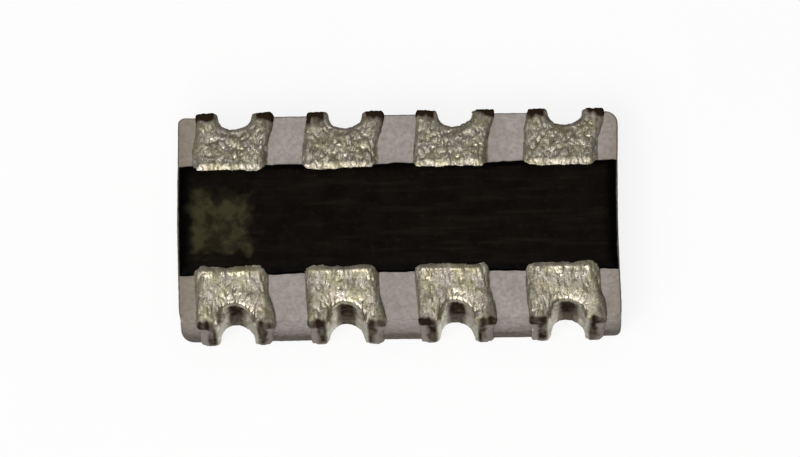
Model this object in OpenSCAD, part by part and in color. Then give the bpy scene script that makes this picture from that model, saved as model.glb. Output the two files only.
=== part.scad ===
// Chip resistor array: four separate thick-film resistors on one ceramic chip,
// with eight castellated solder terminals along its two long sides.
// X runs along the chip, Y from the front row of terminals to the back row, Z up.
// The origin is under the middle of the chip, on the plane of its solder pads.

/* [Substrate] */
// Distance between the centres of neighbouring terminals
terminal_pitch = 0.8; // [0.7:0.01:1.3]
// Distance from the centre of the last terminal to the end of the substrate
end_margin = 0.4; // [0.36:0.01:0.7]
// Width of the substrate between its two terminal sides
substrate_width = 1.56; // [1.4:0.01:2.2]
// Thickness of the fired ceramic
substrate_thickness = 0.51; // [0.3:0.01:0.8]
// Radius of the four upright corners of the substrate
corner_radius = 0.06; // [0.02:0.005:0.1]
// Radius of the half-round castellations in the terminal sides
castellation_radius = 0.155; // [0.1:0.005:0.19]

/* [Terminals] */
// Width of the printed silver of a terminal
silver_width = 0.49; // [0.46:0.01:0.6]
// Thickness of the printed silver
silver_thickness = 0.01; // [0.008:0.001:0.016]
// Thickness of the nickel plated over the silver
nickel_thickness = 0.004; // [0.003:0.001:0.008]
// Thickness of the tin plated over the nickel
tin_thickness = 0.018; // [0.012:0.001:0.026]
// Depth of the silver on the underside, from the terminal side of the substrate
underside_depth = 0.3; // [0.22:0.01:0.45]
// How far the tin laps over the edge of the overcoat
tin_lap = 0.046; // [0.02:0.002:0.06]
// Thickness of the tin where it laps over the overcoat
lap_thickness = 0.012; // [0.008:0.001:0.016]

/* [Resistors] */
// Gap between the two facing electrodes of one resistor
electrode_gap = 0.51; // [0.35:0.01:0.6]
// Width of a resistor film
film_width = 0.36; // [0.24:0.01:0.4]
// Thickness of a resistor film
film_thickness = 0.01; // [0.008:0.001:0.018]
// How far a film lies over each of its electrodes
film_overlap = 0.06; // [0.03:0.005:0.08]
// Run of the slope where a film steps down off an electrode
film_slope = 0.02; // [0.01:0.005:0.04]
// Thickness of the glass over a film
glass_thickness = 0.008; // [0.006:0.001:0.016]
// How far the glass reaches past its film all round
glass_margin = 0.03; // [0.015:0.005:0.035]
// Width of the laser trim cut
trim_width = 0.03; // [0.015:0.005:0.05]
// Length of the trim cut, from the side of the film inwards
trim_length = 0.2; // [0.08:0.01:0.22]
// Distance of the trim cut from the middle of the resistor
trim_offset = 0.06; // [-0.1:0.01:0.1]

/* [Overcoat] */
// How far the overcoat reaches past the glass towards each terminal row
overcoat_margin = 0.0725; // [0.06:0.0025:0.1]
// Thickness of the overcoat above the glass
overcoat_cover = 0.012; // [0.01:0.001:0.03]
// Thickness of the overcoat at its edges
overcoat_edge = 0.02; // [0.018:0.001:0.026]
// Width of the rounded shoulder along each long edge
overcoat_shoulder = 0.1; // [0.06:0.01:0.16]
// Width of the rounded shoulder at each end of the overcoat
end_shoulder = 0.07; // [0.04:0.01:0.1]

/* [Hidden] */
$fn = 96;
resistor_count = 4;
terminal_count = 2 * resistor_count;

// Heights of the layers above the ceramic they are built up on
silver_top = silver_thickness;
nickel_top = silver_top + nickel_thickness;
tin_top = nickel_top + tin_thickness;
film_top = silver_top + film_thickness;
glass_top = film_top + glass_thickness;
crown = glass_top + overcoat_cover;

// The substrate stands on the plating under it
substrate_length = (resistor_count - 1) * terminal_pitch + 2 * end_margin;
base_z = tin_top;
top_z = base_z + substrate_thickness;
side_y = substrate_width / 2;

// Half width of a terminal up to where its edges begin to round off
flat_half = silver_width / 2 - silver_thickness;

// Half lengths, across the chip, of what lies under the overcoat and of the overcoat itself
gap_half = electrode_gap / 2;
film_half = gap_half + film_overlap;
glass_half = film_half + glass_margin;
overcoat_half = glass_half + overcoat_margin;
plateau_half = overcoat_half - overcoat_shoulder;
glass_width = film_width + 2 * glass_margin;

// A shoulder is an arc that leaves the plateau level and ends at the edge of the overcoat
shoulder_drop = crown - overcoat_edge;
function arc_radius(width) = (pow(width, 2) + pow(shoulder_drop, 2)) / (2 * shoulder_drop);
shoulder_radius = arc_radius(overcoat_shoulder);

// Depths on the top face, from the terminal side of the substrate inwards
electrode_depth = side_y - gap_half;
plated_depth = side_y - overcoat_half;

ceramic_colour = [0.62, 0.58, 0.57];
silver_colour = [0.80, 0.79, 0.76];
nickel_colour = [0.66, 0.63, 0.56];
tin_colour = [0.72, 0.70, 0.60];
film_colour = [0.14, 0.13, 0.13];
glass_colour = [0.30, 0.42, 0.34];
overcoat_colour = [0.07, 0.06, 0.05];

function names(stem, count) = [for (i = [1:count]) str(stem, "_", i)];

// Terminals are numbered along the front from the left, then along the back from the right
function column_x(column) = (column - (resistor_count + 1) / 2) * terminal_pitch;
function is_front(pin) = pin <= resistor_count;
function pin_column(pin) = is_front(pin) ? pin : terminal_count + 1 - pin;

// Puts a terminal drawn at the origin, with +Y outwards, in its place on the substrate
module at_terminal(pin) {
    translate([column_x(pin_column(pin)), is_front(pin) ? -side_y : side_y, 0])
        rotate([0, 0, is_front(pin) ? 180 : 0])
            children();
}

module both_ways() {
    children();
    mirror([1, 0, 0]) children();
}

module on_top() {
    translate([0, 0, top_z]) children();
}

module on_underside() {
    translate([0, 0, base_z]) mirror([0, 0, 1]) children();
}

// Section of a layer where it rounds an edge of what it covers
module round_section(inner, outer) {
    intersection() {
        difference() {
            circle(outer);
            if (inner > 0) circle(inner);
        }
        square(2 * outer);
    }
}

// Section of a layer on an upright wall of the substrate, rounded over at top and bottom
module wall_section(inner, outer) {
    translate([inner, base_z]) square([outer - inner, substrate_thickness]);
    translate([0, top_z]) round_section(inner, outer);
    translate([0, base_z]) mirror([0, 1]) round_section(inner, outer);
}

// A layer on a flat face: the pad round the castellation and its rounded side edges
module face_layer(inner, outer, depth) {
    translate([0, 0, inner])
        linear_extrude(outer - inner)
            difference() {
                translate([-flat_half, -depth]) square([2 * flat_half, depth]);
                circle(castellation_radius);
            }
    both_ways()
        translate([flat_half, 0, 0])
            rotate([90, 0, 0])
                linear_extrude(depth) round_section(inner, outer);
}

// The rounded inner end of a pad that ends on bare ceramic
module face_end(inner, outer, depth) {
    translate([flat_half, -depth, 0])
        rotate([90, 0, -90])
            linear_extrude(2 * flat_half) round_section(inner, outer);
    both_ways()
        translate([flat_half, -depth, 0])
            rotate([0, 0, -90])
                rotate_extrude(angle = 90) round_section(inner, outer);
}

// A layer on the terminal side: the castellation's lining and the two ears beside it
module edge_layer(inner, outer) {
    rotate([0, 0, 180])
        rotate_extrude(angle = 180)
            translate([castellation_radius, 0]) mirror([1, 0]) wall_section(inner, outer);
    both_ways() {
        translate([castellation_radius, 0, 0])
            rotate([0, 0, 90])
                rotate_extrude(angle = 90) wall_section(inner, outer);
        translate([castellation_radius, 0, 0])
            rotate([90, 0, 90])
                linear_extrude(flat_half - castellation_radius) wall_section(inner, outer);
        translate([flat_half, 0, 0])
            rotate_extrude(angle = 90) wall_section(inner, outer);
    }
}

// A plated layer that wraps a whole terminal from the top face to the underside
module plating(inner, outer) {
    on_top() face_layer(inner, outer, plated_depth);
    edge_layer(inner, outer);
    on_underside() {
        face_layer(inner, outer, underside_depth);
        face_end(inner, outer, underside_depth);
    }
}

module substrate_outline() {
    square([substrate_length - 2 * corner_radius, substrate_width], center = true);
    square([substrate_length, substrate_width - 2 * corner_radius], center = true);
    for (x = [-1, 1], y = [-1, 1])
        translate([x * (substrate_length / 2 - corner_radius), y * (side_y - corner_radius)])
            circle(corner_radius);
}

module substrate() {
    color(ceramic_colour)
        translate([0, 0, base_z])
            linear_extrude(substrate_thickness)
                difference() {
                    substrate_outline();
                    for (pin = [1:terminal_count])
                        at_terminal(pin) circle(castellation_radius);
                }
}

module top_electrode(pin) {
    color(silver_colour)
        at_terminal(pin)
            on_top() face_layer(0, silver_top, electrode_depth);
}

module bottom_electrode(pin) {
    color(silver_colour)
        at_terminal(pin)
            on_underside() {
                face_layer(0, silver_top, underside_depth);
                face_end(0, silver_top, underside_depth);
            }
}

module edge_electrode(pin) {
    color(silver_colour) at_terminal(pin) edge_layer(0, silver_top);
}

module nickel_barrier(pin) {
    color(nickel_colour) at_terminal(pin) plating(silver_top, nickel_top);
}

// The lip of tin that grows up over the shoulder of the overcoat
module lap_section() {
    difference() {
        intersection() {
            translate([plateau_half, crown - shoulder_radius])
                circle(shoulder_radius + lap_thickness);
            translate([overcoat_half - tin_lap, 0]) square([tin_lap, 2 * crown]);
        }
        crowned_section(overcoat_half, overcoat_shoulder);
    }
}

module tin_terminal(pin) {
    color(tin_colour)
        at_terminal(pin) {
            plating(nickel_top, tin_top);
            on_top()
                translate([-flat_half, -side_y, 0])
                    rotate([90, 0, 90])
                        linear_extrude(2 * flat_half) lap_section();
        }
}

// Long section of a printed layer: flat on the ceramic, stepping up onto both electrodes
module step_section(half, thickness) {
    rise = silver_top + thickness;
    slope_end = gap_half - film_slope;
    polygon([
        [-half, silver_top], [-half, rise], [-gap_half, rise], [-slope_end, thickness],
        [slope_end, thickness], [gap_half, rise], [half, rise], [half, silver_top],
        [gap_half, silver_top], [gap_half, 0], [-gap_half, 0], [-gap_half, silver_top]
    ]);
}

module printed_strip(column, half, thickness, width) {
    translate([column_x(column) - width / 2, 0, top_z])
        rotate([90, 0, 90])
            linear_extrude(width) step_section(half, thickness);
}

module film_strip(column) {
    printed_strip(column, film_half, film_thickness, film_width);
}

module glass_strip(column) {
    printed_strip(column, glass_half, film_thickness + glass_thickness, glass_width);
}

// The slot burnt through glass and film to bring a resistor to its value
module trim_cut(column) {
    translate([column_x(column) - glass_width, trim_offset - trim_width / 2, base_z])
        cube([glass_width - film_width / 2 + trim_length, trim_width, substrate_thickness + crown]);
}

module resistor_film(column) {
    color(film_colour)
        difference() {
            film_strip(column);
            trim_cut(column);
        }
}

module glass_coat(column) {
    color(glass_colour)
        difference() {
            glass_strip(column);
            film_strip(column);
            trim_cut(column);
        }
}

// Section of the overcoat: level in the middle, with a shoulder of the given width at both edges
module crowned_section(half, shoulder) {
    radius = arc_radius(shoulder);
    plateau = half - shoulder;
    intersection() {
        translate([-half, 0]) square([2 * half, 2 * crown]);
        union() {
            translate([-plateau, -crown]) square([2 * plateau, 2 * crown]);
            for (side = [-1, 1])
                translate([side * plateau, crown - radius]) circle(radius);
        }
    }
}

// The overcoat's outer form: what its cross section and its long section have in common
module overcoat_band() {
    on_top()
        intersection() {
            translate([-substrate_length / 2, 0, 0])
                rotate([90, 0, 90])
                    linear_extrude(substrate_length) crowned_section(overcoat_half, overcoat_shoulder);
            translate([0, overcoat_half, 0])
                rotate([90, 0, 0])
                    linear_extrude(2 * overcoat_half) crowned_section(substrate_length / 2, end_shoulder);
        }
}

// The overcoat flows round the electrodes' ends and the glass, and into the trim cuts
module overcoat() {
    color(overcoat_colour)
        difference() {
            overcoat_band();
            for (column = [1:resistor_count])
                difference() {
                    glass_strip(column);
                    trim_cut(column);
                }
            for (pin = [1:terminal_count])
                at_terminal(pin) on_top() face_layer(0, silver_top, electrode_depth);
        }
}

substrate();
overcoat();
for (i = [1:resistor_count]) {
    resistor_film(i);
    glass_coat(i);
}
for (i = [1:terminal_count]) {
    top_electrode(i);
    bottom_electrode(i);
    edge_electrode(i);
    nickel_barrier(i);
    tin_terminal(i);
}
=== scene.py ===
# %% [markdown]
# # A chip resistor array, seen close up
# The object is an electronic part only 3.2 mm long: a fired ceramic chip, a black band of resin
# printed over its four resistors, and eight tin-plated terminals that wrap its long sides.
# The CAD model gives every layer its size and place. This lesson loads that model, measures it,
# and then dresses the three things that the eye sees: snapped ceramic, printed resin, grainy tin.

# %% Load the frame
import collections
import itertools
import math

import bpy
import numpy as np
from mathutils import Matrix, Vector


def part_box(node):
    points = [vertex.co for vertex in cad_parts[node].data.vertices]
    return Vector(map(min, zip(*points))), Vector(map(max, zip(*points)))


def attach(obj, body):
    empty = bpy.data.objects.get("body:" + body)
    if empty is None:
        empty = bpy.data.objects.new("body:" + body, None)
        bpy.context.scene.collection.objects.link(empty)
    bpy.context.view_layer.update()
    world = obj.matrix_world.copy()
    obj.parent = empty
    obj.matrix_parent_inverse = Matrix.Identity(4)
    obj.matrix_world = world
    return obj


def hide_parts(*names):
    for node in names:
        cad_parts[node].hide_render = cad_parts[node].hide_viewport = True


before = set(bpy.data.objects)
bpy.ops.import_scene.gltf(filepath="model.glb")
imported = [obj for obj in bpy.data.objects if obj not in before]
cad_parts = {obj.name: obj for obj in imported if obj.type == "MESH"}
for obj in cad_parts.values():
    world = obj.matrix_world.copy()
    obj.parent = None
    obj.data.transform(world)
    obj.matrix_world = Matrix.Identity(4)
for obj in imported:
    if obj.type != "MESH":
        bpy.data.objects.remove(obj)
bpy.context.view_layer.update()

print("CAD nodes in the frame:", len(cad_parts))

# %% [markdown]
# The frame is in metres, but a chip is easier to think about in millimetres. So shapes are worked
# out in millimetres, from the boxes of the CAD nodes, and shrunk only when a mesh is made.
# Four sizes can't be read from a box: the radius of the castellations and the arched section of
# the resin. They repeat the CAD's own values.

# %% Measure the layers
MM = 0.001


def box_mm(node):
    """The lowest and highest corner of a CAD node, in millimetres."""
    low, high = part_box(node)
    return np.array(low) / MM, np.array(high) / MM


chip_low, chip_high = box_mm("substrate")
HALF_LENGTH, SIDE, CHIP_TOP = chip_high
CHIP_BASE = chip_low[2]
coat_high = box_mm("overcoat")[1]
COAT_HALF = coat_high[1]
COAT_CROWN = coat_high[2] - CHIP_TOP
tin_low, tin_high = box_mm("tin_terminal_1")
TIN_TOP = CHIP_BASE - tin_low[2]
TIN_LAP = COAT_HALF + tin_high[1]
NICKEL_TOP = CHIP_BASE - box_mm("nickel_barrier_1")[0][2]
pad_low, pad_high = box_mm("bottom_electrode_1")
SILVER_TOP = CHIP_BASE - pad_low[2]
PAD_FLAT = (pad_high[0] - pad_low[0]) / 2 - SILVER_TOP
PAD_UNDER = pad_high[1] + SIDE - SILVER_TOP
PAD_OVER = SIDE - COAT_HALF
NOTCH = 0.155
COAT_EDGE = 0.02
COAT_SHOULDER, END_SHOULDER = 0.1, 0.07
COLUMNS = [sum(box_mm(f"tin_terminal_{pin}"))[0] / 2 for pin in (1, 2, 3, 4)]
print("chip", np.round(2 * chip_high[:2], 3), "mm, plating", round(TIN_TOP, 3), "mm, columns at",
      np.round(COLUMNS, 2))

# %% [markdown]
# Nothing on a real chip is perfectly even, so most shapes below are pushed about by noise.
# Blender's own noise lives in shaders and modifiers. Here the meshes are made of numbers, so a
# small noise is written in numpy. It is hashed from whole numbers and a seed, which means that
# every run gives the same chip.

# %% Repeatable noise
PRIMES = np.array([73856093, 19349663, 83492791], np.uint64)
SEED_FACTOR = 2654435761
SCRAMBLES = ((15, 2246822519), (13, 3266489917))
LAST_SHIFT = 16
WORD = 2**32


def hashed(cells, seed):
    """A number from 0 to 1 for each row of three whole numbers."""
    a, b, c = np.moveaxis(cells.astype(np.uint64), -1, 0)
    n = a * PRIMES[0] ^ b * PRIMES[1] ^ c * PRIMES[2]
    n ^= np.uint64(seed * SEED_FACTOR % WORD)
    for shift, factor in SCRAMBLES:
        n = (n ^ (n >> np.uint64(shift))) * np.uint64(factor) & np.uint64(WORD - 1)
    n ^= n >> np.uint64(LAST_SHIFT)
    return n.astype(float) / WORD


def soft_noise(points, size, seed):
    """Smooth noise from -1 to 1 with features about one size wide."""
    q = points / size
    cell = np.floor(q).astype(np.int64)
    f = q - cell
    f = f * f * (3 - 2 * f)
    total = np.zeros(len(points))
    for corner in itertools.product((0, 1), repeat=3):
        weight = np.prod(np.where(corner, f, 1 - f), axis=1)
        total += weight * hashed(cell + np.array(corner), seed)
    return 2 * total - 1


def ease(low, high, x):
    """Climbs smoothly from 0 at low to 1 at high, and falls where low is the higher number."""
    t = np.clip((x - low) / (high - low), 0, 1)
    return t * t * (3 - 2 * t)


sample = soft_noise(np.random.default_rng(1).uniform(-1, 1, (500, 3)), 0.1, 3)
print("noise runs from", round(sample.min(), 2), "to", round(sample.max(), 2))

# %% [markdown]
# A mesh goes into the scene in one way for every piece: millimetres become metres, faces are
# smooth, values per point are kept as attributes for the materials, the piece is parented to the
# CAD body it rides on, and the CAD node that it replaces is hidden.

# %% One way to make a piece
def make_piece(name, points, faces, material, replaced, values):
    """Turns points in millimetres and their faces into a piece of the chip."""
    mesh = bpy.data.meshes.new(name)
    mesh.from_pydata((np.asarray(points) * MM).tolist(), [], [list(map(int, f)) for f in faces])
    mesh.validate()
    mesh.shade_smooth()
    for label, numbers in values.items():
        attribute = mesh.attributes.new(label, "FLOAT", "POINT")
        attribute.data.foreach_set("value", np.asarray(numbers, np.float32))
    mesh.materials.append(material)
    piece = bpy.data.objects.new(name, mesh)
    bpy.context.scene.collection.objects.link(piece)
    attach(piece, "root")
    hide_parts(replaced)
    return piece


# %% [markdown]
# Materials come next, because each piece asks for one. They share three effects, each built once
# as a node group: soft blotches of colour, fine relief too small to model, and dirt and painted
# shade that gather where a piece says so through its "edge" attribute. The groups work in
# millimetres of object space, so the pattern stays on the chip and needs no unwrapping.

# %% Helpers for nodes
def fill(tree, socket, value):
    """Links a socket to another, or gives it a number or colour."""
    if isinstance(value, bpy.types.NodeSocket):
        tree.links.new(value, socket)
    else:
        socket.default_value = value


def put(tree, kind, sockets, **settings):
    """Adds a node with its settings, and fills its inputs."""
    made = tree.nodes.new(kind)
    for name, value in settings.items():
        setattr(made, name, value)
    for name, value in sockets.items():
        fill(tree, made.inputs[name], value)
    return made


def maths(tree, operation, *values, **settings):
    return put(tree, "ShaderNodeMath", dict(enumerate(values)), operation=operation, **settings).outputs[0]


def vector_maths(tree, operation, *values):
    return put(tree, "ShaderNodeVectorMath", dict(enumerate(values)), operation=operation).outputs[0]


def noise(tree, place, per_mm, detail, **sockets):
    """A noise texture, from which the mask or the colour is taken."""
    sockets = {"Vector": place, "Scale": per_mm, "Detail": detail, **sockets}
    return put(tree, "ShaderNodeTexNoise", sockets).outputs


def painted(tree, label):
    """A value that the mesh carries at each point."""
    return put(tree, "ShaderNodeAttribute", {}, attribute_name=label).outputs["Fac"]


def blend(tree, factor, first, second):
    mix = tree.nodes.new("ShaderNodeMix")
    mix.data_type = "RGBA"
    for index, value in ((0, factor), (6, first), (7, second)):
        fill(tree, mix.inputs[index], value)
    return mix.outputs[2]


def stretch(tree, value, low, high):
    """Turns a mask from 0 to 1 into a value from low to high."""
    return put(tree, "ShaderNodeMapRange", {"Value": value, "To Min": low, "To Max": high}).outputs[0]


def climb(tree, value, start, end, top=1.0):
    """A mask that goes from 0 at start to its top at end."""
    sockets = {"Value": value, "From Min": start, "From Max": end, "To Max": top}
    return put(tree, "ShaderNodeMapRange", sockets).outputs[0]


def chip_place(tree):
    """Where a point is on the chip, in millimetres."""
    place = put(tree, "ShaderNodeTexCoord", {}).outputs["Object"]
    sockets = {"Vector": place, "Scale": 1 / MM}
    return put(tree, "ShaderNodeVectorMath", sockets, operation="SCALE").outputs[0]


def shared_group(name, inputs, outputs):
    """An empty node group, with the sockets of its two ends."""
    group = bpy.data.node_groups.new(name, "ShaderNodeTree")
    for label, value in inputs.items():
        socket = group.interface.new_socket(label, in_out="INPUT", socket_type="NodeSocketFloat")
        socket.default_value = value
    for label, kind in outputs.items():
        group.interface.new_socket(label, in_out="OUTPUT", socket_type=kind)
    return group, group.nodes.new("NodeGroupInput").outputs, group.nodes.new("NodeGroupOutput").inputs


print("node helpers ready")

# %% [markdown]
# Fired ceramic, printed resin and plated tin are all a little patchy. Patches could be painted by
# hand, but a noise that is cut softly between two levels does it for all three, and the levels
# set how much of the surface they cover.

# %% Shared group: blotches
blotches, given, out = shared_group(
    "Blotches", {"Per mm": 5.0, "Detail": 3.0, "Low": 0.35, "High": 0.65}, {"Mask": "NodeSocketFloat"})
cloud = noise(blotches, chip_place(blotches), given["Per mm"], given["Detail"])[0]
mask = put(blotches, "ShaderNodeMapRange",
           {"Value": cloud, "From Min": given["Low"], "From Max": given["High"]},
           interpolation_type="SMOOTHSTEP")
fill(blotches, out["Mask"], mask.outputs[0])
print("group", blotches.name, "with", len(blotches.nodes), "nodes")

# %% [markdown]
# Sintered grains and the grit of a print are a few micrometres high, less than a pixel of the
# picture. As a mesh they would cost millions of faces, so a bump tilts the light instead.

# %% Shared group: fine relief
fine_relief, given, out = shared_group(
    "Fine relief", {"Per mm": 60.0, "Strength": 0.5, "Depth": 1e-6}, {"Normal": "NodeSocketVector"})
grit = noise(fine_relief, chip_place(fine_relief), given["Per mm"], 4.0, Roughness=0.6)[0]
bump = put(fine_relief, "ShaderNodeBump",
           {"Height": grit, "Strength": given["Strength"], "Distance": given["Depth"]})
fill(fine_relief, out["Normal"], bump.outputs[0])
print("group", fine_relief.name, "with", len(fine_relief.nodes), "nodes")

# %% [markdown]
# Dirt keeps to edges and hollows, and painted shade is laid there too. A shader can guess those
# from the bend of a mesh, but each piece below knows its own, so it paints them as "edge", and a
# noise frays the border.

# %% Shared group: dirt and painted shade at the edges
edge_dirt_and_shade, given, out = shared_group(
    "Edge dirt and shade", {"Amount": 1.0, "Break up": 0.5, "Per mm": 20.0}, {"Mask": "NodeSocketFloat"})
edge = painted(edge_dirt_and_shade, "edge")
patchy = noise(edge_dirt_and_shade, chip_place(edge_dirt_and_shade), given["Per mm"], 3.0)[0]
shifted = maths(edge_dirt_and_shade, "SUBTRACT", patchy, 0.5)
ragged = maths(edge_dirt_and_shade, "MULTIPLY_ADD", shifted, given["Break up"], edge)
fill(edge_dirt_and_shade, out["Mask"], maths(edge_dirt_and_shade, "MULTIPLY", ragged, given["Amount"], use_clamp=True))
print("group", edge_dirt_and_shade.name, "with", len(edge_dirt_and_shade.nodes), "nodes")

# %% [markdown]
# A material here is always one Principled shader with the groups placed around it. Numbers that
# are the same all over go straight onto the shader's sockets, and only what changes over the
# surface arrives through a link.

# %% Helpers for materials
def new_material(name, **constants):
    """A material, its nodes and its shader's inputs, with the constants set."""
    material = bpy.data.materials.new(name)
    material.use_nodes = True
    tree = material.node_tree
    shader = tree.nodes["Principled BSDF"]
    for label, value in constants.items():
        shader.inputs[label.replace("_", " ")].default_value = value
    return material, tree, shader.inputs


def placed(tree, group, **values):
    """Places a shared group with its own values and gives its outputs."""
    made = tree.nodes.new("ShaderNodeGroup")
    made.node_tree = group
    for label, value in values.items():
        fill(tree, made.inputs[label.replace("_", " ")], value)
    return made.outputs


print("shared groups:", [g.name for g in bpy.data.node_groups])

# %% [markdown]
# The chip itself is alumina, a fired white ceramic. Close up it is a grey, faintly pink, matt
# body of tiny sintered grains, a little darker in patches. It turns brown towards the two snapped
# ends, more so at the left one. Its walls are darker towards the bottom and along the top arris at
# the back and the ends, and the top arris all round carries a painted shade that tones down the
# highlight it catches. Two sizes of blotches give the patches, the fine relief gives the grains,
# and the "edge" mask lays the darkening and the painted shade.

# %% Material: alumina
CERAMIC_GREY, CERAMIC_PALE = (0.4, 0.358, 0.328, 1), (0.455, 0.415, 0.39, 1)
GRAIN_SHADOW = (0.26, 0.22, 0.19, 1)
END_BROWN = (0.21, 0.165, 0.1, 1)
ARRIS_BROWN = (0.085, 0.062, 0.045, 1)
BROWN_SHIFT = 0.06
BROWN_START, BROWN_FULL, BROWN_SHARE = HALF_LENGTH - 0.24, HALF_LENGTH + 0.06, 0.66
alumina, tree, shader = new_material("alumina", Specular_IOR_Level=0.3)
wide = placed(tree, blotches, Per_mm=4.0, Low=0.3, High=0.7)["Mask"]
small = placed(tree, blotches, Per_mm=38.0, Detail=5.0, Low=0.36, High=0.66)["Mask"]
# The "edge" mask: darker towards the bottom of the walls and along the back and end arrises, and a painted
# shade on the top arris.
dirt_and_shade = placed(tree, edge_dirt_and_shade, Amount=0.85, Break_up=0.9, Per_mm=24.0)["Mask"]
body = blend(tree, wide, CERAMIC_GREY, CERAMIC_PALE)
body = blend(tree, stretch(tree, small, 0.44, 0.0), body, GRAIN_SHADOW)
chip_x = put(tree, "ShaderNodeSeparateXYZ", {0: chip_place(tree)}).outputs["X"]
from_middle = maths(tree, "ABSOLUTE", maths(tree, "SUBTRACT", chip_x, BROWN_SHIFT))
ends = climb(tree, from_middle, BROWN_START, BROWN_FULL, BROWN_SHARE)
body = blend(tree, ends, body, END_BROWN)
body = blend(tree, dirt_and_shade, body, ARRIS_BROWN)
relief = placed(tree, fine_relief, Per_mm=55.0, Strength=0.55, Depth=4e-6)
fill(tree, shader["Base Color"], body)
fill(tree, shader["Roughness"], stretch(tree, small, 0.72, 0.56))
fill(tree, shader["Normal"], relief["Normal"])
print("material", alumina.name, "with", len(tree.nodes), "nodes")

# %% [markdown]
# The band over the resistors is a black resin, screen printed and baked. It is almost black with
# a brown cast, satin rather than shiny, and carries short, faint streaks along the chip where the
# printing squeegee went. Its arched shoulders are painted darker, a painted shade where they tilt
# away from the light. A worn olive stain lies towards its left end. The streaks are a noise that is
# drawn out along X, and the stain is a soft square whose border wanders with another noise.

# %% Material: black resin
RESIN_BLACK, RESIN_BROWN = (0.0042, 0.0029, 0.0019, 1), (0.0068, 0.0051, 0.0037, 1)
STREAK_BROWN = (0.016, 0.0125, 0.0095, 1)
FLECK_BROWN = (0.016, 0.012, 0.009, 1)
STAIN_OLIVE = (0.058, 0.051, 0.025, 1)
SHOULDER_SHADE = (0.0006, 0.0004, 0.0004, 1)
STREAKS_PER_MM = (2.2, 26.0, 1.0)
STAIN_PLACE, STAIN_WANDER = (-1.185, 0.085, 0.0), (0.25, 0.25, 0.0)
STAIN_INNER, STAIN_OUTER = 0.17, 0.26
black_resin, tree, shader = new_material("black_resin", Specular_IOR_Level=0.02)
place = chip_place(tree)
streak = noise(tree, vector_maths(tree, "MULTIPLY", place, STREAKS_PER_MM), 1.0, 3.0)[0]
streak = climb(tree, streak, 0.52, 0.7)
wide = placed(tree, blotches, Per_mm=7.0, Low=0.3, High=0.7)["Mask"]
flecks = placed(tree, blotches, Per_mm=30.0, Detail=5.0, Low=0.56, High=0.72)["Mask"]
# Painted shade: the "edge" mask darkens the shoulders, which tilt away from the light.
dirt_and_shade = placed(tree, edge_dirt_and_shade, Amount=0.92, Break_up=0.4, Per_mm=16.0)["Mask"]
resin = blend(tree, wide, RESIN_BLACK, RESIN_BROWN)
resin = blend(tree, stretch(tree, streak, 0.0, 0.5), resin, STREAK_BROWN)
resin = blend(tree, stretch(tree, flecks, 0.0, 0.5), resin, FLECK_BROWN)
wander = noise(tree, place, 9.0, 2.0)["Color"]
moved = vector_maths(tree, "MULTIPLY_ADD", wander, STAIN_WANDER, place)
spread = vector_maths(tree, "ABSOLUTE", vector_maths(tree, "SUBTRACT", moved, STAIN_PLACE))
spread = put(tree, "ShaderNodeSeparateXYZ", {0: spread}).outputs
from_stain = maths(tree, "MAXIMUM", spread["X"], spread["Y"])
patches = placed(tree, blotches, Per_mm=10.0, Detail=3.0, Low=0.4, High=0.62)["Mask"]
stain_and_shade = maths(tree, "MULTIPLY", climb(tree, from_stain, STAIN_OUTER, STAIN_INNER),
              stretch(tree, patches, 0.3, 1.0))
resin = blend(tree, stretch(tree, stain_and_shade, 0.0, 0.85), resin, STAIN_OLIVE)
resin = blend(tree, dirt_and_shade, resin, SHOULDER_SHADE)
relief = placed(tree, fine_relief, Per_mm=45.0, Strength=0.3, Depth=1.5e-6)
fill(tree, shader["Base Color"], resin)
fill(tree, shader["Roughness"], stretch(tree, flecks, 0.38, 0.6))
fill(tree, shader["Normal"], relief["Normal"])
print("material", black_resin.name, "with", len(tree.nodes), "nodes")

# %% [markdown]
# The terminals are matt tin, plated so that it grows in visible crystals. Each crystal takes the
# light differently, so the mesh carries a "shade" for each one, and the seams between them are
# darker. The same "shade" also holds painted light and shade: each row is painted brighter or darker
# for the light it gets, the back row darker towards its ears. The walls are dark brown, and painted
# shade lies in the castellations, on the back caps, along the rims and on the pad sides; all of this
# is the "edge" attribute, and the outer part of each wall is dulled by ceramic "dust". The brown, the
# painted shade and the dust are no metal and have no gloss, so they switch the metal off, and an
# index of refraction close to one leaves no sheen under them.

# %% Material: tin plate
TIN_DARK, TIN_PALE = (0.32, 0.282, 0.222, 1), (0.88, 0.83, 0.72, 1)
CLOUD_OLIVE = (0.53, 0.485, 0.25, 1)
BLOOM_PINK = (0.62, 0.535, 0.53, 1)
SPECK_BROWN = (0.13, 0.105, 0.065, 1)
WALL_BROWN = (0.025, 0.0155, 0.0095, 1)
DUST_GREY = (0.3, 0.262, 0.235, 1)
tin_plate, tree, shader = new_material("tin_plate", IOR=1.02)
shade = painted(tree, "shade")
powder = painted(tree, "dust")
cloud = placed(tree, blotches, Per_mm=9.0, Low=0.3, High=0.7)["Mask"]
bloom = placed(tree, blotches, Per_mm=13.0, Low=0.45, High=0.75)["Mask"]
specks = placed(tree, blotches, Per_mm=70.0, Detail=4.0, Low=0.5, High=0.72)["Mask"]
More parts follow.
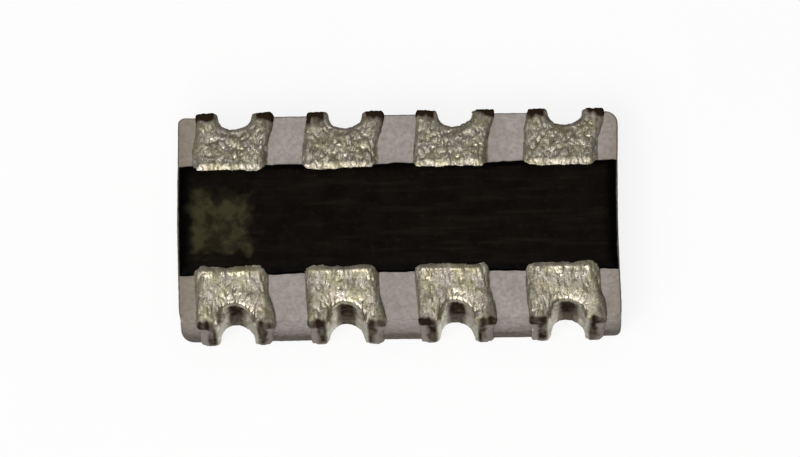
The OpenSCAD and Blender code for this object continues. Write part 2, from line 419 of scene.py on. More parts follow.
# The "edge" mask: dark brown walls, and painted shade in the castellations, on the back caps, along the
# rims and on the pad sides.
dirt_and_shade = placed(tree, edge_dirt_and_shade, Amount=1.0, Break_up=0.4, Per_mm=18.0)["Mask"]
metal = blend(tree, shade, TIN_DARK, TIN_PALE)
metal = blend(tree, stretch(tree, cloud, 0.0, 0.5), metal, CLOUD_OLIVE)
metal = blend(tree, stretch(tree, bloom, 0.0, 0.45), metal, BLOOM_PINK)
metal = blend(tree, stretch(tree, specks, 0.0, 0.62), metal, SPECK_BROWN)
metal = blend(tree, dirt_and_shade, metal, WALL_BROWN)
metal = blend(tree, powder, metal, DUST_GREY)
covered = maths(tree, "MAXIMUM", dirt_and_shade, powder)
dull = maths(tree, "ADD", stretch(tree, shade, 0.36, 0.2), stretch(tree, covered, 0.0, 0.35))
relief = placed(tree, fine_relief, Per_mm=70.0, Strength=0.7, Depth=3e-6)
fill(tree, shader["Base Color"], metal)
fill(tree, shader["Roughness"], dull)
fill(tree, shader["Metallic"], stretch(tree, covered, 1.0, 0.0))
fill(tree, shader["Normal"], relief["Normal"])
print("material", tin_plate.name, "with", len(tree.nodes), "nodes")

# %% [markdown]
# The layers under the tin and the resin stay as the CAD has them: printed silver, plated nickel,
# the resistor films and their glass. They are hidden on a whole chip, but show as soon as a piece
# is taken off, so each gets its own finish from the same groups.

# %% Materials: the hidden layers
ROUGHNESS_SPREAD = 0.08


def layer_material(name, dark, light, per_mm, roughness, depth, **constants):
    """A plain finish in two tones, with specks of the darker one."""
    material, tree, shader = new_material(name, **constants)
    wide = placed(tree, blotches, Per_mm=per_mm, Detail=4.0)["Mask"]
    specks = placed(tree, blotches, Per_mm=8 * per_mm, Detail=3.0, Low=0.55, High=0.7)["Mask"]
    tone = blend(tree, wide, (*dark, 1), (*light, 1))
    tone = blend(tree, stretch(tree, specks, 0.0, 0.4), tone, (*dark, 1))
    rough = stretch(tree, wide, roughness + ROUGHNESS_SPREAD, roughness - ROUGHNESS_SPREAD)
    relief = placed(tree, fine_relief, Per_mm=60.0, Strength=0.4, Depth=depth)
    fill(tree, shader["Base Color"], tone)
    fill(tree, shader["Roughness"], rough)
    fill(tree, shader["Normal"], relief["Normal"])
    return material


hidden_layers = {
    "electrode": layer_material(
        "printed_silver", (0.52, 0.50, 0.46), (0.80, 0.78, 0.74), 8.0, 0.45, 2e-6, Metallic=1.0),
    "nickel_barrier": layer_material(
        "nickel_plate", (0.45, 0.42, 0.36), (0.66, 0.62, 0.54), 6.0, 0.32, 1e-6, Metallic=1.0),
    "resistor_film": layer_material(
        "resistor_film", (0.012, 0.012, 0.013), (0.035, 0.034, 0.034), 10.0, 0.6, 2e-6),
    "glass_coat": layer_material(
        "glass_coat", (0.05, 0.10, 0.07), (0.10, 0.17, 0.12), 5.0, 0.2, 5e-7),
}
dressed = 0
for name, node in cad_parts.items():
    for stem, material in hidden_layers.items():
        if stem in name:
            node.data.materials.clear()
            node.data.materials.append(material)
            dressed += 1
print("hidden nodes dressed:", dressed)

# %% [markdown]
# The ceramic could be the CAD solid with a bevel, but a snapped chip has softly rounded, uneven
# arrises, rough sides, two corners that are rounder than the others, and ends that bow a little.
# So its outline is walked once round, with the half-round castellations. Half of it is enough,
# because the other half is the first one turned round.

# %% Walk round the chip
SMALL_CORNER, LARGE_CORNER = 0.05, 0.095
MOUTH = 0.035
RING_STEP = 0.014
BOW, BOW_REACH = 0.011, 0.25
mouth_reach = math.sqrt((NOTCH + MOUTH) ** 2 - MOUTH**2)
mouth_turn = math.asin(MOUTH / (NOTCH + MOUTH))


def arc(centre, radius, start, end, step):
    """Points along an arc, without its last one."""
    count = max(3, int(abs(end - start) * radius / step))
    angles = np.linspace(start, end, count, endpoint=False)
    return [(centre[0] + radius * math.cos(a), centre[1] + radius * math.sin(a)) for a in angles]


def line(start, end, step):
    """Points along a line, without its last one."""
    count = max(1, int(math.dist(start, end) / step))
    return [tuple(np.array(start) + (np.array(end) - start) * i / count) for i in range(count)]


def bowed(x, y):
    """The snapped ends aren't quite straight: their middles lie a little to the left."""
    near_end = ease(HALF_LENGTH - BOW_REACH, HALF_LENGTH, abs(x))
    return x - BOW * (1 - (y / SIDE) ** 2) ** 2 * near_end


def chip_outline():
    """Points round the chip, anticlockwise from the left of its front side."""
    half = []
    x = -HALF_LENGTH + LARGE_CORNER
    for column in COLUMNS:
        left, right = column - mouth_reach, column + mouth_reach
        half += line((x, -SIDE), (left, -SIDE), RING_STEP)
        half += arc((left, MOUTH - SIDE), MOUTH, -math.pi / 2, -mouth_turn, RING_STEP / 2)
        half += arc((column, -SIDE), NOTCH, math.pi - mouth_turn, mouth_turn, RING_STEP)
        half += arc((right, MOUTH - SIDE), MOUTH, math.pi + mouth_turn, 1.5 * math.pi, RING_STEP / 2)
        x = right
    a, b = SMALL_CORNER, LARGE_CORNER
    half += line((x, -SIDE), (HALF_LENGTH - a, -SIDE), RING_STEP)
    half += arc((HALF_LENGTH - a, a - SIDE), a, -math.pi / 2, 0, RING_STEP / 2)
    half += line((HALF_LENGTH, a - SIDE), (HALF_LENGTH, SIDE - b), RING_STEP)
    half += arc((HALF_LENGTH - b, SIDE - b), b, 0, math.pi / 2, RING_STEP / 2)
    return np.vstack([half, -np.array(half)])


outline = chip_outline()
tangent = np.roll(outline, -1, 0) - np.roll(outline, 1, 0)
tangent /= np.linalg.norm(tangent, axis=1)[:, None]
outward = np.stack([tangent[:, 1], -tangent[:, 0]], 1)
print("outline of", len(outline), "points")

# %% [markdown]
# The outline is stacked into rings. Each ring is a height, how far it is drawn in, and how much
# noise it takes: near the top and the bottom the rings draw in along a quarter circle, and on the
# sides each point is pushed a few micrometres. The two caps are single faces. A smooth-shaded cap
# would take its light from the rounded arris beside it, so a narrow flat ring is laid between
# them and keeps the cap level.

# %% Stack the rings into the ceramic
ARRIS = 0.014
FLAT_RING = 0.006
WALL_RINGS = 34
ROUGH_FROM = 1.6
GRIT_HEIGHT, GRIT_SIZE = 0.002, 0.03
WAVE_HEIGHT, WAVE_SIZE = 0.003, 0.14
WALL_BACK = 0.001
quarter = [(ARRIS * (1 - math.cos(a)), ARRIS * (1 - math.sin(a)), a / ROUGH_FROM)
           for a in np.linspace(0, math.pi / 2, 6)]
rings = [(CHIP_BASE, ARRIS + FLAT_RING, 0.0)]
rings += [(CHIP_BASE + lift, inset, roughness) for lift, inset, roughness in quarter]
rings += [(z, 0.0, 1.0) for z in np.linspace(CHIP_BASE + ARRIS, CHIP_TOP - ARRIS, WALL_RINGS)[1:-1]]
rings += [(CHIP_TOP - lift, inset, roughness) for lift, inset, roughness in quarter[::-1]]
rings += [(CHIP_TOP, ARRIS + FLAT_RING, 0.0)]
off_front = ease(-0.3, 0.6, outward[:, 1] + abs(outward[:, 0]))
points, arris = [], []
for z, inset, roughness in rings:
    ring = np.column_stack([outline - outward * inset, np.full(len(outline), z)])
    push = GRIT_HEIGHT * soft_noise(ring, GRIT_SIZE, 11)
    push += WAVE_HEIGHT * soft_noise(ring, WAVE_SIZE, 12)
    push -= WALL_BACK
    ring[:, :2] += outward * (push * roughness)[:, None]
    ring[:, 0] = bowed(ring[:, 0], ring[:, 1])
    points.append(ring)
    # Darker towards the bottom of the wall.
    foot = ease(CHIP_BASE + 0.22, CHIP_BASE, z)
    foot += 0.78 * ease(CHIP_TOP - 0.01, CHIP_BASE + 0.1, z)
    # Painted shade on the top arris, which tones down the highlight it catches.
    painted_arris_shade = 0.16 * ease(CHIP_TOP - 0.06, CHIP_TOP - 0.01, z)
    # Darker along the top arris at the back and the ends.
    rim = ease(CHIP_TOP - 0.08, CHIP_TOP - 0.02, z) * off_front
    arris.append(np.maximum(foot + painted_arris_shade, 0.6 * rim) if inset < ARRIS else np.zeros(len(ring)))
count = len(outline)
faces = []
for level in range(len(rings) - 1):
    low, high = level * count, (level + 1) * count
    faces += [(low + i, low + (i + 1) % count, high + (i + 1) % count, high + i) for i in range(count)]
faces += [list(range(count))[::-1], list(range((len(rings) - 1) * count, len(rings) * count))]
ceramic = make_piece("ceramic", np.vstack(points), faces, alumina, "substrate",
                     {"edge": np.concatenate(arris)})
print("ceramic:", len(ceramic.data.polygons), "faces")

# %% [markdown]
# The resin band is a height field: a grid over the band, with a height at each crossing. Its
# section is the CAD's, level in the middle with arcs at the edges. A printed band could also be
# a rounded box, but a height field takes any unevenness as one more term. Grid lines crowd
# together at the border, where the resin turns down to the ceramic.

# %% Height of the resin
RIM_LINES = np.array([0, 0.0015, 0.004, 0.008, 0.014, 0.022])


def shoulder_drop(inside, width):
    """How far the resin has dropped at a distance inside its edge."""
    drop = COAT_CROWN - COAT_EDGE
    radius = (width**2 + drop**2) / (2 * drop)
    run = np.clip(width - inside, 0, width)
    return radius - np.sqrt(radius**2 - run**2)


def resin_height(across, along):
    """Height above the ceramic, from the distances inside the long edge and inside the end."""
    a, b = shoulder_drop(across, COAT_SHOULDER), shoulder_drop(along, END_SHOULDER)
    return COAT_CROWN - np.hypot(a, b)


def grid_lines(half, step):
    """Places of the grid lines from one border to the other."""
    last = RIM_LINES[-1]
    inner = np.linspace(last, 2 * half - last, int((2 * half - 2 * last) / step))
    return np.concatenate([RIM_LINES[:-1], inner, 2 * half - RIM_LINES[-2::-1]]) - half


print("resin at its crown", round(float(resin_height(0.4, 0.5)), 4), "mm, at its edge",
      round(float(resin_height(0.0, 0.5)), 4), "mm")

# %% [markdown]
# On the even section comes what the print gives: a slight swell over each resistor film, a little
# unevenness, a rounded rim and wavy edges that draw back from the line, more so at the back. A
# wall of faces round the border and one face below close the band, so that it is a solid piece.

# %% Lay the resin band
RESIN_END = HALF_LENGTH - 0.009
RESIN_STEP = 0.0115
ROUNDING = 0.014
SWELL = 0.0018
DRAWN_BACK, DRAWN_FRONT = 0.0135, 0.006
RESIN_FOOT = 0.002
xs, ys = grid_lines(RESIN_END, RESIN_STEP), grid_lines(COAT_HALF, RESIN_STEP)
gx, gy = (g.ravel() for g in np.meshgrid(xs, ys))
flat = np.column_stack([gx, gy, 0 * gx])
along, across = RESIN_END - abs(gx), COAT_HALF - abs(gy)
height = resin_height(across, along)
height += 0.0016 * soft_noise(flat, 0.22, 21) + 0.0007 * soft_noise(flat, 0.05, 22)
over_films = sum(ease(0.24, 0.12, abs(gx - column)) for column in COLUMNS)
height += SWELL * over_films * ease(0.02, 0.15, across)
rim = np.clip(1 - np.minimum(along, across) / ROUNDING, 0, 1)
height -= ROUNDING * (1 - np.sqrt(1 - rim**2))
waves = 0.007 * soft_noise(flat, 0.13, 23) + 0.004 * soft_noise(flat, 0.04, 24)
drawn = np.where(gy > 0, DRAWN_BACK, DRAWN_FRONT)
gy = gy + (np.sign(gy) * waves - drawn) * ease(0.15, 0.0, across)
gx = bowed(gx, gy) - np.sign(gx) * abs(waves) * 0.5 * ease(0.1, 0.0, along)
top = np.column_stack([gx, gy, CHIP_TOP + height])
nx, ny = len(xs), len(ys)
number = np.arange(nx * ny).reshape(ny, nx)
corners = [number[:-1, :-1], number[:-1, 1:], number[1:, 1:], number[1:, :-1]]
faces = np.stack(corners, -1).reshape(-1, 4).tolist()
border = np.concatenate([number[0, :-1], number[:-1, -1], number[-1, :0:-1], number[:0:-1, 0]])
foot = top[border].copy()
foot[:, 2] = CHIP_TOP - RESIN_FOOT
under = nx * ny + np.arange(len(border))
faces += [(u, v, b, a) for a, b, u, v in zip(border, np.roll(border, -1), under, np.roll(under, -1))]
faces.append(under[::-1].tolist())
# Painted shade for the "edge" mask: dark on the shoulders, which tilt away from the light, and on the
# border wall.
fade = ease(0.13, 0.03, np.minimum(across * 1.7, along))
resin_band = make_piece("resin_band", np.vstack([top, foot]), faces, black_resin, "overcoat",
                        {"edge": np.concatenate([fade, np.ones(len(border))])})
print("resin band:", len(resin_band.data.polygons), "faces")

# %% [markdown]
# A terminal is the hard piece. Tin wraps over the chip's top face, round the castellation and
# under it, and it swells round every corner. Modelling that by hand means many patches that have
# to meet. A distance field is simpler: every point in space knows how far it is from the ceramic
# under the terminal, and the tin is all that lies below its skin. Rounded corners come by
# themselves, and lumps are one added term. The tin's root reaches into the silver and the nickel,
# because a layer thinner than a cube of the grid below would be lost.
#
# The two rows were plated a little differently and take the light differently, so each has its
# habits: which way it faces, where its ears and its lip lie off the column, how flat its
# castellation is, how its top face ramps and dishes, how thick its lip is and how far it reaches,
# how bright its tin is painted and how that falls off outwards, which is painted light and shade
# for the light that the row gets, and how high and how large its crystals are.

# %% The tin as a distance field
MIDDLE = (CHIP_TOP + CHIP_BASE) / 2
HALF_HEIGHT = (CHIP_TOP - CHIP_BASE) / 2
SOFTENED = 0.022
SLOPE_START, SLOPE = 0.2, 0.77
SQUARE_WIDER, SQUARE_STEEPER, SQUARE_SHARPER = 0.043, 0.45, 1.2
LUMP_SIZE, LUMP_PUSH, LUMP_SWELL = 0.13, (0.008, 0.006, 0.003), 0.002
LIP_BACK = -0.004
LIP_MARGIN, LIP_SIDE, LIP_BEHIND = 0.01, 0.055, 0.06
LIP_WANDER, LIP_WANDER_SIZE = 0.012, 0.055
LIP_LUMPS, LIP_LUMP_SIZE = 0.45, 0.04
LIP_SLOPE, LIP_JOIN = 0.7, 0.022
MID_BAND = 1.0
LEAST_TIN = 0.004
TIN_ROOT = 0.004
SINK = 0.003
FOOT_CLEARANCE = 0.0003
Habit = collections.namedtuple(
    "Habit", "turn at_ears at_lip squash power ramp dish lip reach shine fall rise crystal")
# Each row's tin is painted brighter or darker for the light it gets, and the back row darker towards its
# ears: painted light and shade.
FRONT = Habit(turn=-1, at_ears=-0.012, at_lip=0.025, squash=1.0, power=2.0, ramp=0.003, dish=0.006,
              lip=0.02, reach=0.001, shine=0.66, fall=0.0, rise=0.0072, crystal=(0.021, 0.058, 0.1))
BACK = Habit(turn=1, at_ears=0.016, at_lip=-0.025, squash=1.3, power=2.1, ramp=0.015, dish=0.006,
             lip=0.021, reach=0.011, shine=1.2, fall=0.45, rise=0.0105, crystal=(0.024, 0.05, 0.085))


def beyond(x):
    return np.maximum(x, 0)


def in_notch(u, v, squash=1.0, power=2.0):
    """How far a point is inside the castellation, which plating may have made flatter."""
    return NOTCH - (abs(u) ** power + abs(squash * v) ** power) ** (1 / power)


def from_ceramic(p, rounding=0.0, half_width=PAD_FLAT, pull=1.0, norm=2.0, notch=(1.0, 2.0)):
    """Distance from the plated part of the ceramic: u along the chip, v outwards, z up."""
    u, v, z = p.T
    depth = np.where(z > MIDDLE, PAD_OVER, PAD_UNDER)
    gaps = [beyond(v + rounding), beyond(in_notch(u, v, *notch) + rounding),
            beyond(abs(z - MIDDLE) - HALF_HEIGHT + rounding), pull * beyond(abs(u) - half_width),
            beyond(-depth - v)]
    return sum(g**norm for g in gaps) ** (1 / norm) - rounding


def resin_crest(inside):
    """Height of the resin's surface at a distance inside its long edge."""
    return CHIP_TOP + resin_height(np.clip(inside, 0, COAT_SHOULDER), MID_BAND)


def lip_field(p, warped, seed, habit):
    """Below zero inside the bead of tin that laps onto the resin."""
    u, v, z = warped
    inside = -v - PAD_OVER
    wander = LIP_WANDER * soft_noise(p * (1, 0, 0), LIP_WANDER_SIZE, seed + 5)
    run = beyond(inside + LIP_BACK) / (TIN_LAP + LIP_BACK + habit.reach + wander)
    side = beyond(abs(u) - SLOPE_START - LIP_MARGIN) / LIP_SIDE
    behind = beyond(-inside - LIP_BACK) / LIP_BEHIND
    thick = habit.lip * (1 + LIP_LUMPS * soft_noise(p * (1, 0, 0), LIP_LUMP_SIZE, seed + 6))
    bead = np.sqrt(run**2 + side**2 + behind**2) + abs(z - resin_crest(inside)) / thick - 1
    return bead * LIP_SLOPE * habit.lip


def skin_field(p, seed, habit):
    """Below zero inside the outer skin of a terminal, with its lumps and its lip on the resin."""
    lumps = np.column_stack([soft_noise(p, LUMP_SIZE, seed + k) for k in range(3)])
    u, v, z = (p + lumps * LUMP_PUSH).T
    u = u - habit.at_ears - (habit.at_lip - habit.at_ears) * ease(0.0, -0.3, v)
    rise = habit.ramp * ease(-0.12, -0.36, v)
    rise -= habit.dish * ease(-0.08, 0.0, in_notch(u, v, habit.squash, habit.power))
    raised = np.column_stack([u, v, z - rise * ease(CHIP_TOP - 0.02, CHIP_TOP + 0.01, z)])
    square = ease(CHIP_BASE + 0.2, CHIP_TOP - 0.05, z) * ease(-0.32, 0.0, v)
    skin = from_ceramic(raised, SOFTENED, SLOPE_START + SQUARE_WIDER * square,
                        SLOPE + SQUARE_STEEPER * square, 2 + SQUARE_SHARPER * square,
                        (habit.squash, habit.power))
    skin -= TIN_TOP + LUMP_SWELL * lumps[:, 0]
    bead = lip_field(p, (u, v, z), seed, habit)
    mix = np.clip(0.5 + 0.5 * (bead - skin) / LIP_JOIN, 0, 1)
    joined = bead * (1 - mix) + skin * mix - LIP_JOIN * mix * (1 - mix)
    return np.minimum(joined, from_ceramic(p) - NICKEL_TOP - LEAST_TIN)


def tin_field(p, seed, habit):
    """Below zero inside the tin: within its skin, outside its root, ceramic, resin and floor."""
    u, v, z = p.T
    inside = -v - PAD_OVER
    ceramic = np.minimum(np.minimum(-v, np.hypot(u, v) - NOTCH), HALF_HEIGHT - abs(z - MIDDLE))
    resin = np.minimum(inside, resin_crest(inside) - z)
    return np.max([skin_field(p, seed, habit), TIN_ROOT - from_ceramic(p), ceramic - SINK, resin - SINK,
                   FOOT_CLEARANCE - z], axis=0)


probe = np.array([[0.0, -0.25, CHIP_TOP + z] for z in (0.002, 0.025, 0.05)])
print("field below the root, in the tin, in the air:", np.round(tin_field(probe, 1, BACK), 3))

# %% [markdown]
# A field becomes a mesh by surface nets: space is cut into small cubes, each cube that the surface
# passes through gets one point at the mean of its crossings, and each crossed edge of the grid
# joins the four points round it into a face. The cubes are 7 micrometres wide, about one pixel of
# the picture, and each point is then moved along the slope of the field onto the true surface.

# %% Surface nets
SLOPE_REACH = 0.0008
LEAST_SLOPE = 0.3
LONGEST_MOVE = 0.004
MOVES = 2


def cell_corner(grid, corner):
    """The values at one of the eight corners of every cube."""
    i, j, k = corner
    nx, ny, nz = np.array(grid.shape) - 1
    return grid[i:i + nx, j:j + ny, k:k + nz]


def surface_net(field, low, step):
    """Points and faces of the surface where the values of a grid change sign."""
    cells = tuple(np.array(field.shape) - 1)
    place, hits = np.zeros(cells + (3,)), np.zeros(cells)
    for axis, ends in itertools.product(range(3), itertools.product((0, 1), repeat=2)):
        start, end = np.insert(ends, axis, 0), np.insert(ends, axis, 1)
        a, b = cell_corner(field, start), cell_corner(field, end)
        cut = (a < 0) != (b < 0)
        t = np.where(cut, a / np.where(cut, a - b, 1), 0)
        place += (start + t[..., None] * (end - start)) * cut[..., None]
        hits += cut
    used = hits > 0
    index = np.full(cells, -1)
    index[used] = np.arange(used.sum())
    points = low + step * (np.argwhere(used) + place[used] / hits[used][:, None])
    return points, net_faces(field < 0, index)


def net_faces(inside, index):
    """A face for each edge of the grid that the surface crosses, facing outwards."""
    faces = []
    for axis in range(3):
        b, c = (axis + 1) % 3, (axis + 2) % 3
        window = [slice(1, -1)] * 3
        window[axis] = slice(0, -1)
        start = inside[tuple(window)]
        window[axis] = slice(1, None)
        crossed = start != inside[tuple(window)]
        edges = np.argwhere(crossed)
        edges[:, [b, c]] += 1
        ring = []
        for back_b, back_c in ((1, 1), (0, 1), (0, 0), (1, 0)):
            cell = edges.copy()
            cell[:, b] -= back_b
            cell[:, c] -= back_c
            ring.append(index[tuple(cell.T)])
        ring = np.stack(ring, 1)
        inward = ~start[crossed]
        ring[inward] = ring[inward][:, ::-1]
        faces.append(ring)
    return np.vstack(faces)


def slope_of(field, p):
    steps = np.eye(3) * SLOPE_REACH
    return np.column_stack([field(p + s) - field(p - s) for s in steps]) / (2 * SLOPE_REACH)


def settle(points, field):
    """Moves points onto the surface of a field, and gives the directions away from it."""
    for _ in range(MOVES):
        slope = slope_of(field, points)
        size = np.maximum(np.linalg.norm(slope, axis=1), LEAST_SLOPE)[:, None]
        points = points - np.clip(field(points)[:, None] / size, -LONGEST_MOVE, LONGEST_MOVE) * slope / size
    return points, slope / size


ball = np.linspace(-1, 1, 24)
ball_field = np.linalg.norm(np.stack(np.meshgrid(ball, ball, ball, indexing="ij"), -1), axis=-1) - 0.7
ball_net = surface_net(ball_field, -1.0, ball[1] - ball[0])
print("test ball:", len(ball_net[0]), "points and", len(ball_net[1]), "faces")

# %% [markdown]
# Tin crystals are cells round scattered points, as in a Voronoi pattern, longer across the chip
# than along it. Each leans its own way and is a little domed, so neighbours catch the light
# differently. The lean and the dome move the mesh, and a shade for each crystal and the dark seam
# between two go to the material.

# %% Crystals
LEAN, STAGGER, DOME = 1.5, 0.25, 0.9
SEAM_WIDTH = 0.3
SEAM_HEIGHT = 0.4
FAR = 9.0


def crystals(p, crystal, seed):
    """Height, shade and seam of the crystal that each point belongs to."""
    q = p / np.array(crystal)
    cell = np.floor(q).astype(np.int64)
    first, second = np.full(len(q), FAR), np.full(len(q), FAR)
    centre, name = np.zeros_like(q), np.zeros_like(cell)
    for step in itertools.product((-1, 0, 1), repeat=3):
        other = cell + np.array(step)
        spot = other + np.column_stack([hashed(other, seed + k) for k in range(3)])
        gap = np.linalg.norm(q - spot, axis=1)
        closer = gap < first
        second = np.where(closer, first, np.minimum(second, gap))
        first = np.where(closer, gap, first)
        centre[closer], name[closer] = spot[closer], other[closer]
    lean = np.column_stack([hashed(name, seed + 10 + k) for k in range(3)]) - 0.5
    seam = ease(0.0, SEAM_WIDTH, second - first)
    height = LEAN * np.sum((q - centre) * lean, axis=1)
    height = height + STAGGER * (hashed(name, seed + 20) - 0.5) - DOME * first**2
    return height * (SEAM_HEIGHT + (1 - SEAM_HEIGHT) * seam), hashed(name, seed + 30), seam


for row, habit in (("front", FRONT), ("back", BACK)):
    print("crystals of the", row, "row:", [round(c / MM) for c in habit.crystal], "micrometres")

# %% [markdown]
# The plating is not clean, and painted shade lies on it too. The walls of the ears are dark brown.
# Painted shade darkens the castellations, painted lighter on the wall that faces the light, and
# runs as a line along the upper edge of the front ears. At the back it lays torn caps on the corners
# of the top face and a rim round the castellation, where they roll away from the light, and on every
# pad it darkens the sides, most on the side away from the light. The lip and the outer edges of the
# walls are darker, and ceramic dust dulls the outer parts of the ears. Masks could be painted as
# images, but a few soft steps of the coordinates that shape the tin follow its form exactly.

# %% Stains, painted shade and dust
STREAK_DRAW, STREAK_SIZE = (1.0, 0.3, 0.16), 0.028
# Painted shade on the side of a pad away from the light and on its lit side, and how much darker the lip
# is.
SHADE_ON_DARK_SIDE, SHADE_ON_LIT_SIDE, LIP_DARKENING = 0.6, 0.2, 0.2
# The castellation's painted shade, and how much the wall that faces the light is painted lighter.
HOLLOW_SHADE, HOLLOW_LIGHT = 0.22, 0.13


def hollow_shade(u, z, from_notch, streak, habit):
    """Painted shade in the castellation, darkest in its middle and painted lighter on the wall that faces
    the light.
    """
    lit = HOLLOW_LIGHT * np.clip(-habit.turn * u / 0.08, -1, 1)
    middle = ease(0.095, 0.035, abs(u + 0.015 * streak))
    stain_and_shade = HOLLOW_SHADE - lit + (1 - HOLLOW_SHADE + lit) * middle
    on_wall = ease(0.012, -0.012, from_notch)
    below_top = ease(CHIP_TOP + 0.02, CHIP_TOP - 0.03, z)
    return stain_and_shade * ((0.8 + 0.18 * ease(0.1, 0.4, z)) * on_wall * below_top)


def front_rim_shade(v, z, ear, streak):
    """Painted shade: a dark line along the upper edge of the front ears, where the top turns down."""
    rim = ear * ease(CHIP_TOP - 0.075, CHIP_TOP - 0.035, z + 0.02 * streak)
    return rim * ((0.75 + 0.25 * streak) * ease(-0.012, 0.015, v))


def back_rim_shade(points, ear, from_notch, streak, seed):
    """Painted shade: a torn brown cap on the back ears and a brown rim round the castellation, where they
    roll away from the light.
    """
    v, z = points[:, 1], points[:, 2]
    torn = 0.03 * streak + 0.025 * soft_noise(points, 0.09, seed + 61)
    cap = 1.15 * ear * ease(-0.085, -0.012, v + torn)
    rim = np.maximum(cap, 0.6 * ease(0.022, 0.0, from_notch))
    return rim * ease(CHIP_TOP - 0.16, CHIP_TOP - 0.05, z + 0.03 * streak)


def stains_and_shade(points, seed, habit):
    """Where a terminal is stained or carries painted shade, with the strongest of these at each point."""
    u, v, z = points.T
    u = u - habit.at_ears
    streak = soft_noise(points * STREAK_DRAW, STREAK_SIZE, seed + 60)
    ear = ease(NOTCH - 0.025, NOTCH + 0.01, abs(u))
    from_notch = -in_notch(u, v, habit.squash, habit.power)
    ears = ear * ease(-0.02, 0.02, v + 0.012 * streak) * (0.88 + 0.25 * streak)
    ears *= 1 - 0.4 * ease(0.12, 0.03, z)
    hollow = hollow_shade(u, z, from_notch, streak, habit)
    if habit is FRONT:
        rim = front_rim_shade(v, z, ear, streak)
    else:
        rim = back_rim_shade(points, ear, from_notch, streak, seed)
    lip = LIP_DARKENING * ease(-0.005, 0.02, -v - PAD_OVER)
    flank = ease(0.22, 0.25, abs(u)) * ease(CHIP_TOP - 0.02, CHIP_TOP - 0.08, z)
    # Painted shade along the pad sides, strongest on the side away from the light and weaker on the lit
    # side.
    near_ear = 0.015 * ease(-0.25, -0.02, v)
    shaded = ease(0.2, 0.24, habit.turn * u + near_ear + 0.012 * streak)
    shaded *= ease(-0.25, -0.17, v)
    lit = ease(0.22, 0.25, -habit.turn * u)
    return np.max([ears, hollow, rim, lip, flank, SHADE_ON_DARK_SIDE * shaded, SHADE_ON_LIT_SIDE * lit], axis=0)


def dust(points, seed, habit):
    """Where the outer part of an ear is dulled by ceramic dust, below its upper edge."""
    u, v, z = points.T
    ragged = 0.012 * soft_noise(points, 0.06, seed + 70) + 0.018 * soft_noise(points, 0.2, seed + 71)
    outer = ease(0.19, 0.225, abs(u - habit.at_ears) + ragged) * ease(-0.02, 0.01, v)
    return outer * ease(CHIP_TOP - 0.06, CHIP_TOP - 0.1, z + ragged)


wall = np.array([[0.24, 0.03, z] for z in (0.1, 0.3, CHIP_TOP)])
print("dust on an ear, from its foot to its edge:", np.round(dust(wall, 1, FRONT), 2))

# %% [markdown]
# Now the eight terminals. The same field serves all of them with a different seed, and the front
# row is turned half round. Crystals are laid on the outer skin only. They are lower and darker on
# the lip, and fade out under the chip, where the terminals stand flat on the board.

# %% Grow the terminals
STEP = 0.007
LOW = np.array([-0.315, -0.43, -0.0105])
HIGH = np.array([0.315, 0.07, CHIP_TOP + 0.085])
SKIN_DEPTH = 0.004
BEND, BEND_SIZE = 0.012, 0.07
LIP_FLATTER, LIP_SHADE, LIP_DARKER = 0.3, 0.12, 0.6
SEAM_SHADE = 0.7
axes = [np.arange(a, b, STEP) for a, b in zip(LOW, HIGH)]
grid = np.stack(np.meshgrid(*axes, indexing="ij"), -1)


def grow_terminal(pin):
    """One terminal, from its field to a piece in its place on the chip."""
    seed = 100 * pin
    habit = FRONT if pin <= 4 else BACK

    def field(p):
        return tin_field(p, seed, habit)

    net, faces = surface_net(field(grid.reshape(-1, 3)).reshape(grid.shape[:3]), LOW, STEP)
    points, normal = settle(net, field)
    bend = np.column_stack([soft_noise(points, BEND_SIZE, seed + 40 + k) for k in range(3)])
    height, shade, seam = crystals(points + BEND * bend, habit.crystal, seed)
    on_skin = np.exp(-(skin_field(points, seed, habit) / SKIN_DEPTH) ** 2)
    on_skin *= ease(0.0, 0.04, points[:, 2])
    on_lip = ease(-0.015, 0.015, -points[:, 1] - PAD_OVER)
    on_skin *= 1 - LIP_FLATTER * on_lip
    shade = shade + (LIP_SHADE - shade) * LIP_DARKER * on_lip
    # Painted light and shade: the row's painted brightness, falling off towards the ears at the back.
    shine = habit.shine * (1 - habit.fall * ease(-0.32, -0.04, points[:, 1]))
    points = points + normal * (habit.rise * height * on_skin)[:, None]
    column = COLUMNS[pin - 1 if pin <= 4 else 8 - pin]
    set_down = points * (habit.turn, habit.turn, 1) + (column, habit.turn * SIDE, 0)
    values = {"shade": shine * shade * (SEAM_SHADE + (1 - SEAM_SHADE) * seam),
              "edge": stains_and_shade(points, seed, habit),
              "dust": dust(points, seed, habit)}
    return make_piece(f"tin_{pin}", set_down, faces, tin_plate, f"tin_terminal_{pin}", values)


for pin in range(1, 9):
    terminal = grow_terminal(pin)
    print(terminal.name, len(terminal.data.polygons), "faces")

# %% [markdown]
# The stage is a plain pale floor under soft light. The floor is lit like anything else, so it
# keeps the chip's shadow, and for the camera, mirrors and glass it also glows a little, which
# makes it the white of a catalogue page without more light on the chip.

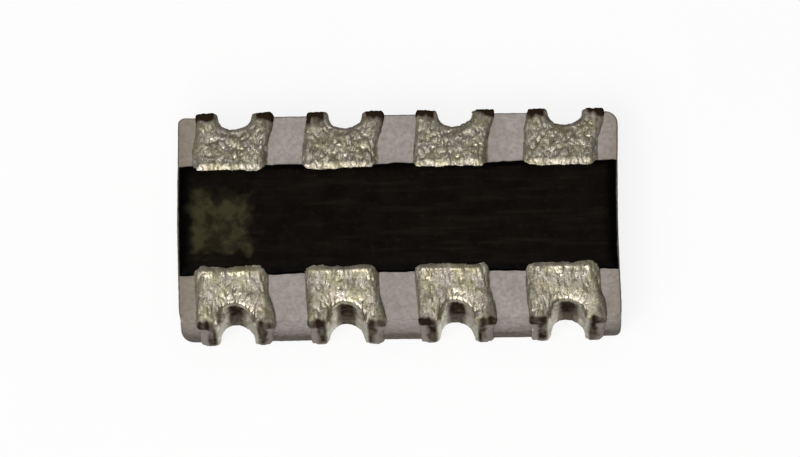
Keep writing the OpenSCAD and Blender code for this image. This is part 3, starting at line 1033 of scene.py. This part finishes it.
# %% Floor
FLOOR_HALF = 0.07
FLOOR_DROP = 1e-7
GLOW, GLOW_SHARE = 1.05, 0.8
PAPER_GREY, PAPER_PALE = (0.88, 0.88, 0.88, 1), (0.9, 0.9, 0.9, 1)
square = ((-1, -1), (1, -1), (1, 1), (-1, 1))
floor_corners = [(x * FLOOR_HALF, y * FLOOR_HALF, -FLOOR_DROP) for x, y in square]
floor_mesh = bpy.data.meshes.new("floor")
floor_mesh.from_pydata(floor_corners, [], [(0, 1, 2, 3)])
floor = bpy.data.objects.new("floor", floor_mesh)
bpy.context.scene.collection.objects.link(floor)
paper, tree, shader = new_material("paper", Roughness=0.9, Specular_IOR_Level=0.1)
fibres = placed(tree, blotches, Per_mm=0.6, Detail=4.0)["Mask"]
fill(tree, shader["Base Color"], blend(tree, fibres, PAPER_GREY, PAPER_PALE))
path = put(tree, "ShaderNodeLightPath", {}).outputs
seen = maths(tree, "MAXIMUM", path["Is Camera Ray"], path["Is Glossy Ray"])
seen = maths(tree, "MAXIMUM", seen, path["Is Transmission Ray"])
share = maths(tree, "MULTIPLY", seen, GLOW_SHARE)
glow = put(tree, "ShaderNodeEmission", {"Color": (1, 1, 1, 1), "Strength": GLOW}).outputs[0]
lit_paper = tree.nodes["Principled BSDF"].outputs[0]
mixed = put(tree, "ShaderNodeMixShader", {0: share, 1: lit_paper, 2: glow})
fill(tree, tree.nodes["Material Output"].inputs["Surface"], mixed.outputs[0])
floor_mesh.materials.append(paper)
print("floor", 2 * FLOOR_HALF, "m wide")

# %% [markdown]
# Light decides whether tin looks like metal. The key is a wide soft box in front, a little to the
# left, which the crystals that lean forwards mirror. A smaller, weaker one hangs almost overhead,
# slightly behind, and gives the level ones something pale. The room is brighter above than at the
# horizon, so that walls go dark. A soft box of area A and power P has a radiance of P / (pi A),
# which is how the powers are set.

# %% Lamps and room
HORIZON, ZENITH, ZENITH_FROM = 0.05, 0.3, 0.9
ROOM_TINT = (1.0, 0.985, 0.96, 1)


def soft_box(name, size, distance, azimuth, elevation, radiance):
    """A square lamp that faces the chip, with its size and distance in metres."""
    lamp = bpy.data.lights.new(name, "AREA")
    lamp.shape, lamp.size = "SQUARE", size
    lamp.energy = radiance * math.pi * size**2
    a, e = math.radians(azimuth), math.radians(elevation)
    towards = Vector((math.sin(a) * math.cos(e), -math.cos(a) * math.cos(e), math.sin(e)))
    holder = bpy.data.objects.new(name, lamp)
    holder.location = towards * distance
    holder.rotation_euler = towards.to_track_quat("Z", "Y").to_euler()
    bpy.context.scene.collection.objects.link(holder)
    return holder


soft_box("overhead", size=0.032, distance=0.08, azimuth=180, elevation=79, radiance=1.1)
soft_box("key", size=0.06, distance=0.08, azimuth=-28, elevation=58, radiance=4.1)
world = bpy.data.worlds.new("room")
bpy.context.scene.world = world
world.use_nodes = True
tree = world.node_tree
sky = put(tree, "ShaderNodeTexCoord", {}).outputs["Generated"]
rise = put(tree, "ShaderNodeSeparateXYZ", {0: sky}).outputs["Z"]
level = put(tree, "ShaderNodeMapRange",
            {"Value": rise, "From Max": ZENITH_FROM, "To Min": HORIZON, "To Max": ZENITH}).outputs[0]
fill(tree, tree.nodes["Background"].inputs["Strength"], level)
fill(tree, tree.nodes["Background"].inputs["Color"], ROOM_TINT)
bpy.context.scene.view_settings.view_transform = "Standard"

# %% [markdown]
# The camera stands almost above the chip, a little to the front, as for the photograph. A long
# lens from 60 mm away keeps the long sides nearly parallel. The chip lies slightly turned in the
# picture, which is a small roll of the camera.

# %% Camera
AZIMUTH, ELEVATION, ROLL = map(math.radians, (-2.0, 72.5, -2.84))
DISTANCE = 60.0
PIXELS_PER_MM = 137.4
PICTURE_WIDTH = 800
AIM_HEIGHT = 0.29
PIXELS_DOWN, PIXELS_RIGHT = 1.6, 0.5
back = Vector((-math.sin(AZIMUTH) * math.cos(ELEVATION), -math.cos(AZIMUTH) * math.cos(ELEVATION),
               math.sin(ELEVATION)))
level_right = Vector((math.cos(AZIMUTH), -math.sin(AZIMUTH), 0))
level_up = back.cross(level_right)
right = math.cos(ROLL) * level_right + math.sin(ROLL) * level_up
above = math.cos(ROLL) * level_up - math.sin(ROLL) * level_right
aim = Vector((0, 0, AIM_HEIGHT))
aim = aim - above * (PIXELS_DOWN / PIXELS_PER_MM) + right * (PIXELS_RIGHT / PIXELS_PER_MM)
lens = bpy.data.cameras.new("camera")
lens.sensor_fit, lens.sensor_width = "HORIZONTAL", 36.0
lens.lens = lens.sensor_width * DISTANCE * PIXELS_PER_MM / PICTURE_WIDTH
lens.clip_start, lens.clip_end = 0.001, 1.0
camera = bpy.data.objects.new("camera", lens)
turned = Matrix((right, above, back)).transposed().to_4x4()
turned.translation = (aim + back * DISTANCE) * MM
camera.matrix_world = turned
bpy.context.scene.collection.objects.link(camera)
bpy.context.scene.camera = camera
print("lens", round(lens.lens), "mm")
